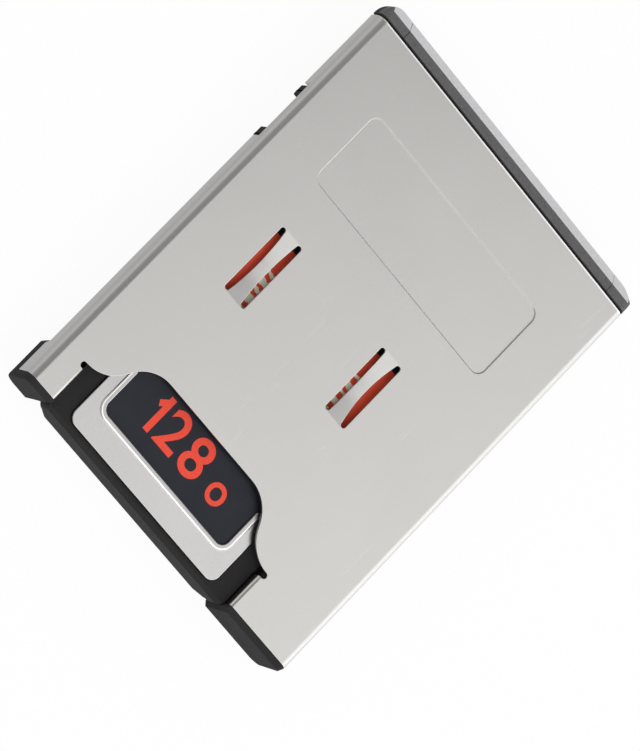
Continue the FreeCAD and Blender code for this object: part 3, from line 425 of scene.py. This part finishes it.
sheet_metal("cover_steel", COVER_TONES, roughness=0.25, grain_depth=0.0012 * MM, tint=painted_edge_light)
sheet_metal("base_steel", COVER_TONES, roughness=0.31, grain_depth=0.0020 * MM)
sheet_metal("card_steel", PLATE_TONES, roughness=0.24, grain_depth=0.0001 * MM, tint=ridge_highlight_and_shade)
moulded("frame_plastic", FRAME_TONES, roughness=0.40, texture=8.0, depth=0.008 * MM,
        gloss=0.004, tint=pale_nose_bevel_highlight)
moulded("connector_plastic_bevel_highlight", CONNECTOR_TONES, roughness=0.42, texture=8.0, depth=0.008 * MM,
        gloss=0.004, tint=pale_nose_bevel_highlight)
moulded("card_plastic", CARD_TONES, roughness=0.40, texture=11.0, depth=0.006 * MM, gloss=0.01)
moulded("socket_plastic", SOCKET_TONES, roughness=0.5, texture=9.0, depth=0.008 * MM)
moulded("chip_epoxy", CHIP_TONES, roughness=0.6, texture=6.0, depth=0.01 * MM, gloss=0.35)
moulded("pad_rubber", PAD_TONES, roughness=0.75, texture=3.0, depth=0.02 * MM, gloss=0.25)
moulded("chip_ceramic", CERAMIC_TONES, roughness=0.45, texture=7.0, depth=0.006 * MM)
plated_gold()
laminate()
amber_film()
printed_label_vent_shade()
print_ink()
floor_white()

NODE_FINISH = {
    "frame": "frame_plastic",
    "top_cover": "cover_steel",
    "bottom_cover": "base_steel",
    "nose_connector": "connector_plastic_bevel_highlight",
    "host_contacts": "contact_gold",
    "circuit_board": "board_laminate",
    "board_capacitors": "chip_ceramic",
    "board_resistors": "chip_epoxy",
    "insulating_film": "amber_film",
    "card_socket": "socket_plastic",
    "socket_contacts": "contact_gold",
    "card_shell": "card_plastic",
    "card_plate": "card_steel",
    "card_label": "label_print_vent_shade",
    "card_contacts": "contact_gold",
    "card_board": "board_laminate",
    "card_controller": "chip_epoxy",
    "thermal_pad": "pad_rubber",
    "card_memory_chips": "chip_epoxy",
    "card_capacitors": "chip_ceramic",
}


def paint(piece, finish_name):
    piece.data.materials.clear()
    piece.data.materials.append(FINISHES[finish_name])


SHARP_ANGLE = math.radians(50)
SMOOTH_ANGLE = math.radians(35)


def round_edges(piece, width, segments):
    """Give the sharp edges of the active piece small rounds, and shade it smooth over them."""
    edges = piece.modifiers.new("edge_rounds", "BEVEL")
    edges.width = width
    edges.segments = segments
    edges.limit_method = "ANGLE"
    edges.angle_limit = SHARP_ANGLE
    edges.use_clamp_overlap = False
    bpy.ops.object.modifier_apply(modifier=edges.name)
    bpy.ops.object.shade_smooth_by_angle(angle=SMOOTH_ANGLE)


TAPER_NOSE = LOW_CORNER.x + 0.35 * MM
TAPER_SIDE = LOW_CORNER.y + 1.2 * MM
TAPER_SHARE = 0.8


def taper_corner(piece):
    """Draw the upright rear corner of the wide rail in, as its moulding is tapered there."""
    bpy.context.tool_settings.mesh_select_mode = (True, False, False)
    for point in piece.data.vertices:
        point.select = point.co.x < TAPER_NOSE and point.co.y < TAPER_SIDE
    bpy.ops.object.mode_set(mode="EDIT")
    bpy.ops.transform.resize(value=(1.0, TAPER_SHARE, 1.0), center_override=(0, TAPER_SIDE, 0))
    bpy.ops.object.mode_set(mode="OBJECT")


WELD = 0.001 * MM
FLAT_ANGLE = math.radians(0.5)
COVER_ROUND = 0.055 * MM
FRAME_ROUND = 0.05 * MM
CONNECTOR_ROUND = 0.03 * MM
PLATE_ROUND = 0.075 * MM
SHELL_ROUND = 0.05 * MM


def soften(node, name, body, width, shape=None):
    """Stand for a node with a copy whose sharp edges have the small rounds of the real piece."""
    piece = bpy.data.objects.new(name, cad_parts[node].data.copy())
    bpy.context.scene.collection.objects.link(piece)
    paint(piece, NODE_FINISH[node])
    bpy.ops.object.select_all(action="DESELECT")
    piece.select_set(True)
    bpy.context.view_layer.objects.active = piece
    if piece.data.has_custom_normals:
        bpy.ops.mesh.customdata_custom_splitnormals_clear()
    bpy.ops.object.mode_set(mode="EDIT")
    bpy.ops.mesh.select_all(action="SELECT")
    bpy.ops.mesh.remove_doubles(threshold=WELD)
    bpy.ops.mesh.dissolve_limited(angle_limit=FLAT_ANGLE)
    bpy.ops.mesh.select_all(action="DESELECT")
    bpy.ops.object.mode_set(mode="OBJECT")
    if shape:
        shape(piece)
    round_edges(piece, width, segments=2)
    shading = piece.modifiers.new("face_shading", "WEIGHTED_NORMAL")
    shading.keep_sharp = True
    bpy.ops.object.modifier_apply(modifier=shading.name)
    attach(piece, body)
    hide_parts(node)


INK_HEIGHT = 0.006 * MM


def lay_print(mark, name, width, foot, head, start):
    """Lay a flat mark on the label: its head points to the nose and it is read towards -Y."""
    mark.name = name
    corners = [Vector(corner) for corner in mark.bound_box]
    least = Vector([min(corner[axis] for corner in corners) for axis in range(3)])
    most = Vector([max(corner[axis] for corner in corners) for axis in range(3)])
    size = most - least
    tall = (head - foot) / size.y
    wide = width / size.x
    thick = INK_HEIGHT / size.z
    turn = Matrix(((0, tall, 0, 0), (-wide, 0, 0, 0), (0, 0, thick, 0), (0, 0, 0, 1)))
    place = Matrix.Translation((foot, start, LABEL_BOX[1].z))
    mark.data.transform(place @ turn @ Matrix.Translation(-least))
    paint(mark, "numeral_ink")
    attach(mark, "card")


STROKE_GAIN = 0.012
GLYPH_DEPTH = 0.5


def make_glyph(character):
    """Outline of one character as a flat solid."""
    bpy.ops.object.select_all(action="DESELECT")
    bpy.ops.object.text_add(location=(0, 0, 0))
    glyph = bpy.context.object
    glyph.data.body = character
    glyph.data.offset = STROKE_GAIN
    glyph.data.extrude = GLYPH_DEPTH
    bpy.ops.object.convert(target="MESH")
    return bpy.context.object


# Stem and flag of the numeral 1, drawn about three units high
STEM_PLACE = (0.80, 1.5, 0)
STEM_SIZE = (0.60, 3.0, 1.0)
FLAG_PLACE = (0.46, 2.34, 0)
FLAG_SIZE = (1.0, 0.5, 0.9)
FLAG_ANGLE = math.radians(38)


def make_one():
    """The numeral 1: an upright stem with a short flag that falls away from its head."""
    bpy.ops.object.select_all(action="DESELECT")
    bpy.ops.mesh.primitive_cube_add(size=1, location=STEM_PLACE, scale=STEM_SIZE)
    bpy.ops.object.mode_set(mode="EDIT")
    bpy.ops.mesh.select_all(action="DESELECT")
    bpy.ops.mesh.primitive_cube_add(
        size=1, location=FLAG_PLACE, rotation=(0, 0, FLAG_ANGLE), scale=FLAG_SIZE)
    bpy.ops.object.mode_set(mode="OBJECT")
    mark = bpy.context.object
    bpy.ops.object.transform_apply(location=True, rotation=True, scale=True)
    return mark


# Character, width, foot, head and starting side of each mark, in millimetres
MARKS = {
    "numeral_1": ("1", 1.05, -15.06, -11.95, 6.25),
    "numeral_2": ("2", 2.02, -15.06, -11.90, 4.75),
    "numeral_8": ("8", 2.12, -15.12, -11.90, 2.25),
    "small_ring": ("o", 1.68, -15.02, -13.30, -0.92),
}


def make_numerals():
    """Numerals of the label and the small ring after them."""
    for name, (character, *places) in MARKS.items():
        mark = make_one() if character == "1" else make_glyph(character)
        width, foot, head, start = [place * MM for place in places]
        lay_print(mark, name, width, foot, head, start)


# Rear end of each catch
CATCHES = {
    "side_catch_rear": LOW_CORNER.x + 24.46 * MM,
    "side_catch_nose": LOW_CORNER.x + 28.70 * MM,
}
CATCH_LENGTH = 0.94 * MM
CATCH_DEPTH = 1.35 * MM
CATCH_HEIGHT = 1.0 * MM
CATCH_MIDDLE = 2.60 * MM
CATCH_RAMP = 0.2 * MM
CATCH_ROUND = 0.09 * MM


def make_side_catches():
    """The two catches in the side notch: flush with the rail, with a sloped end to the nose."""
    for name, rear in CATCHES.items():
        middle = rear + CATCH_LENGTH / 2
        bpy.ops.object.select_all(action="DESELECT")
        bpy.ops.mesh.primitive_cube_add(
            size=1,
            location=(middle, HIGH_CORNER.y - CATCH_DEPTH / 2, CATCH_MIDDLE),
            scale=(CATCH_LENGTH, CATCH_DEPTH, CATCH_HEIGHT))
        catch = bpy.context.object
        catch.name = name
        bpy.ops.object.transform_apply(location=True, rotation=True, scale=True)
        for vertex in catch.data.vertices:
            vertex.select = vertex.co.y > HIGH_CORNER.y - WELD and vertex.co.x > middle
        bpy.context.tool_settings.mesh_select_mode = (True, False, False)
        bpy.ops.object.mode_set(mode="EDIT")
        bpy.ops.transform.translate(value=(-CATCH_RAMP, 0, 0))
        bpy.ops.object.mode_set(mode="OBJECT")
        round_edges(catch, CATCH_ROUND, segments=3)
        paint(catch, "frame_plastic")
        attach(catch, "adapter")


FLOOR_SIZE = 6.0
FLOOR_DROP = 0.01 * MM


def make_floor():
    bpy.ops.object.select_all(action="DESELECT")
    bpy.ops.mesh.primitive_plane_add(size=FLOOR_SIZE, location=(0, 0, -FLOOR_DROP))
    floor = bpy.context.object
    floor.name = "floor"
    bpy.ops.object.transform_apply(location=True, rotation=True, scale=True)
    paint(floor, "floor_white")


CAMERA_PLACE = (-0.10615, 0.14814, 0.36119)
CAMERA_RIGHT = (0.67164, -0.59462, 0.44196)
CAMERA_AHEAD = (0.25756, -0.37194, -0.89181)
SENSOR_WIDTH = 36.0
LENS = 319.5
NEAR_LIMIT = 0.01


def make_camera():
    """Camera at the photograph's place. Its picture is turned, so its three axes are given."""
    data = bpy.data.cameras.new("camera")
    data.sensor_fit = "HORIZONTAL"
    data.sensor_width = SENSOR_WIDTH
    data.lens = LENS
    data.clip_start = NEAR_LIMIT
    camera = bpy.data.objects.new("camera", data)
    bpy.context.scene.collection.objects.link(camera)
    right = Vector(CAMERA_RIGHT).normalized()
    ahead = Vector(CAMERA_AHEAD).normalized()
    up = right.cross(ahead)
    right = ahead.cross(up)
    turn = Matrix((right, up, -ahead)).transposed().to_4x4()
    camera.matrix_world = Matrix.Translation(CAMERA_PLACE) @ turn
    bpy.context.scene.camera = camera


def make_lamp(name, place, size, power):
    """Round soft lamp that faces the object."""
    data = bpy.data.lights.new(name, "AREA")
    data.shape = "DISK"
    data.size = size
    data.energy = power
    lamp = bpy.data.objects.new(name, data)
    bpy.context.scene.collection.objects.link(lamp)
    lamp.location = place
    lamp.rotation_euler = Vector(place).to_track_quat("Z", "Y").to_euler()


WORLD_LEVEL = 1.2
# The sky's tones, from the horizon to straight up
WORLD_STOPS = (
    (0.0, tone(1.0, 1.0, 1.0)),
    (0.52, tone(0.95, 0.95, 0.95)),
    (0.72, tone(0.36, 0.36, 0.36)),
    (1.0, tone(0.32, 0.32, 0.32)),
)


def make_light():
    """A sky that is white near the horizon and grey overhead, and two soft lamps."""
    world = bpy.data.worlds.new("studio")
    bpy.context.scene.world = world
    world.use_nodes = True
    nodes = world.node_tree.nodes
    links = world.node_tree.links
    direction = nodes.new("ShaderNodeTexCoord").outputs["Generated"]
    axes = nodes.new("ShaderNodeSeparateXYZ")
    links.new(direction, axes.inputs[0])
    ramp = nodes.new("ShaderNodeValToRGB")
    stops = ramp.color_ramp.elements
    while len(stops) < len(WORLD_STOPS):
        stops.new(0.5)
    for stop, (position, color) in zip(stops, WORLD_STOPS):
        stop.position = position
        stop.color = color
    links.new(axes.outputs["Z"], ramp.inputs[0])
    background = nodes["Background"]
    links.new(ramp.outputs[0], background.inputs["Color"])
    background.inputs["Strength"].default_value = WORLD_LEVEL
    make_lamp("key_lamp", place=(-0.147, -0.768, 0.734), size=1.6, power=7.6)
    make_lamp("rim_lamp", place=(-0.90, -0.37, 0.27), size=0.5, power=1.2)


for node, finish_name in NODE_FINISH.items():
    paint(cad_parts[node], finish_name)

soften("top_cover", "cover_pressing", "adapter", COVER_ROUND)
soften("frame", "frame_moulding", "adapter", FRAME_ROUND, taper_corner)
soften("nose_connector", "connector_moulding", "adapter", CONNECTOR_ROUND)
soften("card_plate", "plate_pressing", "card", PLATE_ROUND)
soften("card_shell", "card_moulding", "card", SHELL_ROUND)
make_numerals()
make_side_catches()

make_floor()
make_camera()
make_light()
bpy.context.scene.view_settings.view_transform = "Standard"
